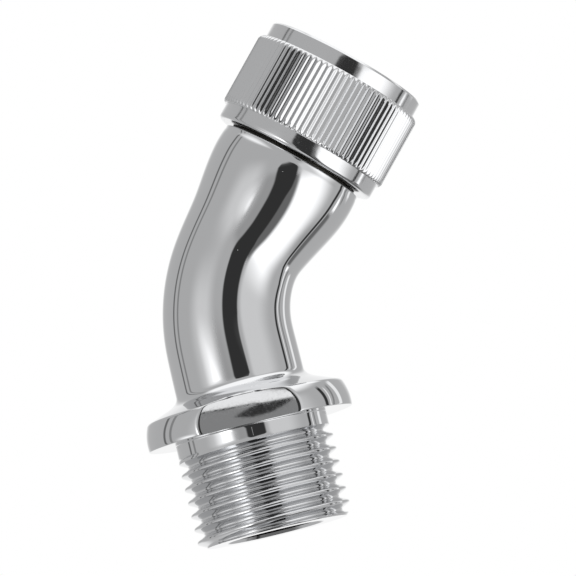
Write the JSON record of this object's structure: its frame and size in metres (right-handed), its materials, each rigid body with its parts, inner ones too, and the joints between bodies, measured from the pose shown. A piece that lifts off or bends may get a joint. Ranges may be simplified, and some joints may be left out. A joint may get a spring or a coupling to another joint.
{
  "type": "shower hose elbow adapter",
  "caption": "Chrome-plated elbow adapter with a male pipe thread, a wrench flange, a bent tube and a knurled swivel nut with a female pipe thread.",
  "frame": {"origin": "centre of the male thread's end face", "axes": "+Z along the male thread, from its end face towards the flange and the tube; the tube bends in the XZ plane, towards +X"},
  "size_m": [0.0458, 0.024, 0.066],
  "materials": {
    "chrome": "polished chrome plate on brass",
    "nut_chrome": "polished chrome plate on brass, turned and knurled",
    "spring_steel": "plain spring steel",
    "rubber": "matt black rubber"
  },
  "bodies": {
    "elbow": {"elbow_body": "chrome", "retaining_ring": "spring_steel", "seal_washer": "rubber"},
    "nut": {"swivel_nut": "nut_chrome"}
  },
  "joints": [
    {"name": "nut_swivel", "type": "hinge", "parent": "elbow", "child": "nut", "pos_m": [0.014, 0, 0.04786], "axis": [0.6769, 0, 0.7361], "continuous": true}
  ]
}
